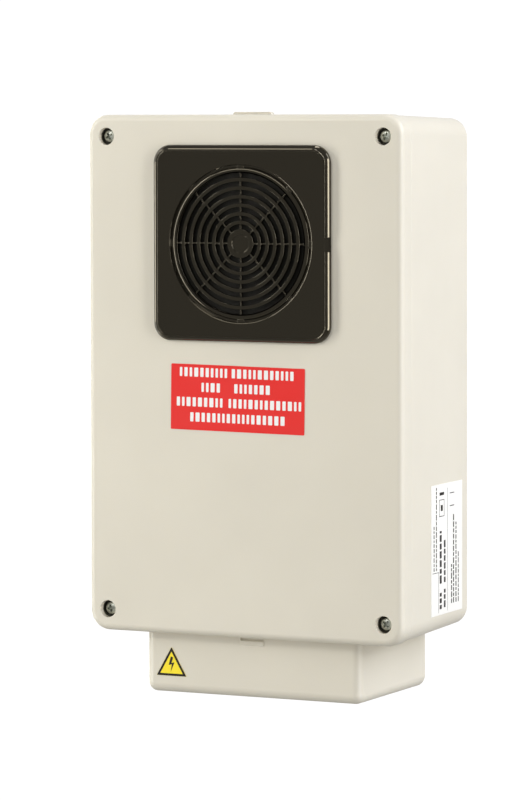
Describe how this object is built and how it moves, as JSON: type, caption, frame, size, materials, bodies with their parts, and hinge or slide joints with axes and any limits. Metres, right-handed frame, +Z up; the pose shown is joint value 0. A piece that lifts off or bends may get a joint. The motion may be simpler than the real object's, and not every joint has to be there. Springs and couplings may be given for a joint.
{
  "type": "alarm siren",
  "caption": "Wall-mounted alarm siren: deep plastic housing with a screwed front lid, a square speaker grille and a smaller terminal compartment below.",
  "frame": {"origin": "centre of the four wall-screw holes, on the back face that lies against the wall", "axes": "+X to the right seen from the front, +Z up, -Y out from the wall towards the viewer"},
  "size_m": [0.164, 0.082, 0.2771],
  "materials": {
    "housing": "fine satin grain, beige",
    "black_plastic": "semi-gloss moulded",
    "screw_zinc": "zinc plated",
    "rubber": "matt",
    "red_film": null,
    "white_film": null,
    "yellow_film": null,
    "cloth": "woven",
    "foam": "closed-cell foam",
    "steel": "zinc-plated pressed steel",
    "paper_cone": "pressed paper pulp",
    "copper": "enamelled copper wire",
    "spider_cloth": "impregnated weave",
    "ferrite": "sintered, dark grey",
    "fibre": "phenolic paper",
    "board_green": "solder resist on glass-epoxy",
    "laminations": "varnished steel laminations",
    "relay_blue": "moulded case",
    "capacitor_sleeve": "shrink sleeve",
    "aluminium": "extruded, plain",
    "chip_epoxy": "moulded epoxy",
    "resistor_body": "lacquered",
    "tin": "tin plated",
    "glass": "clear tube",
    "trimmer_blue": "moulded",
    "nylon_white": "natural nylon",
    "wire_red": "insulation",
    "wire_black": "insulation",
    "terminal_green": "moulded",
    "battery_case": "moulded dark grey",
    "brass": "stamped"
  },
  "bodies": {
    "base": {"base_shell": "housing", "rating_label": "white_film", "circuit_board": "board_green", "board_screws": "screw_zinc", "transformer_core": "laminations", "transformer_bobbin": "black_plastic", "transformer_winding": "copper", "relay": "relay_blue", "rectifier": "chip_epoxy", "main_capacitor": "capacitor_sleeve", "small_capacitors": "capacitor_sleeve", "amplifier_chip": "chip_epoxy", "heat_sink": "aluminium", "control_chip": "chip_epoxy", "resistors": "resistor_body", "fuse_clips": "tin", "volume_trimmer": "trimmer_blue", "speaker_header": "nylon_white", "terminal_block": "terminal_green", "terminal_screws": "screw_zinc", "battery": "battery_case", "battery_tabs": "tin", "battery_connectors": "brass", "battery_clamp": "steel", "clamp_screws": "screw_zinc", "battery_lead_red": "wire_red", "battery_lead_black": "wire_black", "battery_header": "nylon_white", "battery_plug": "nylon_white"},
    "lid": {"front_lid": "housing", "red_label": "red_film", "speaker_grille": "black_plastic", "dust_cloth": "cloth", "speaker_gasket": "foam", "speaker_basket": "steel", "speaker_screws": "screw_zinc", "speaker_surround": "rubber", "spider": "spider_cloth", "front_pole_plate": "steel", "magnet": "ferrite", "rear_pole_plate": "steel", "speaker_tag_strip": "fibre", "speaker_plug": "nylon_white", "speaker_lead_red": "wire_red", "speaker_lead_black": "wire_black"},
    "cone": {"speaker_cone": "paper_cone", "dust_cap": "paper_cone", "voice_coil": "copper"},
    "cover": {"terminal_cover": "housing", "grommet_left": "rubber", "grommet_right": "rubber", "warning_label": "yellow_film"},
    "fuse": {"fuse_glass": "glass", "fuse_caps": "tin"},
    "trimmer": {"trimmer_rotor": "nylon_white"},
    "lid_screw_top_left": {"lid_screw_top_left": "screw_zinc"},
    "lid_screw_top_right": {"lid_screw_top_right": "screw_zinc"},
    "lid_screw_bottom_left": {"lid_screw_bottom_left": "screw_zinc"},
    "lid_screw_bottom_right": {"lid_screw_bottom_right": "screw_zinc"}
  },
  "joints": [
    {"name": "lid_pull", "type": "slide", "parent": "base", "child": "lid", "axis": [0, -1, 0], "range_m": [0, 0.12]},
    {"name": "cone_travel", "type": "slide", "parent": "lid", "child": "cone", "axis": [0, -1, 0], "range_m": [-0.001, 0.001], "stiffness_N_per_m": 2000, "deforming": ["speaker_surround", "spider"]},
    {"name": "cover_drop", "type": "slide", "parent": "base", "child": "cover", "axis": [0, 0, -1], "range_m": [0, 0.035]},
    {"name": "fuse_pull", "type": "slide", "parent": "base", "child": "fuse", "axis": [0, -1, 0], "range_m": [0, 0.02]},
    {"name": "volume_turn", "type": "hinge", "parent": "base", "child": "trimmer", "pos_m": [-0.02, -0.0157, 0.006], "axis": [0, -1, 0], "range_deg": [-130, 130]},
    {"name": "screw_turn_top_left", "type": "hinge", "parent": "lid", "child": "lid_screw_top_left", "pos_m": [-0.072, -0.0738, 0.1123], "axis": [0, 1, 0], "continuous": true},
    {"name": "screw_turn_top_right", "type": "hinge", "parent": "lid", "child": "lid_screw_top_right", "pos_m": [0.072, -0.0738, 0.1123], "axis": [0, 1, 0], "continuous": true},
    {"name": "screw_turn_bottom_left", "type": "hinge", "parent": "lid", "child": "lid_screw_bottom_left", "pos_m": [-0.072, -0.0738, -0.1123], "axis": [0, 1, 0], "continuous": true},
    {"name": "screw_turn_bottom_right", "type": "hinge", "parent": "lid", "child": "lid_screw_bottom_right", "pos_m": [0.072, -0.0738, -0.1123], "axis": [0, 1, 0], "continuous": true}
  ]
}
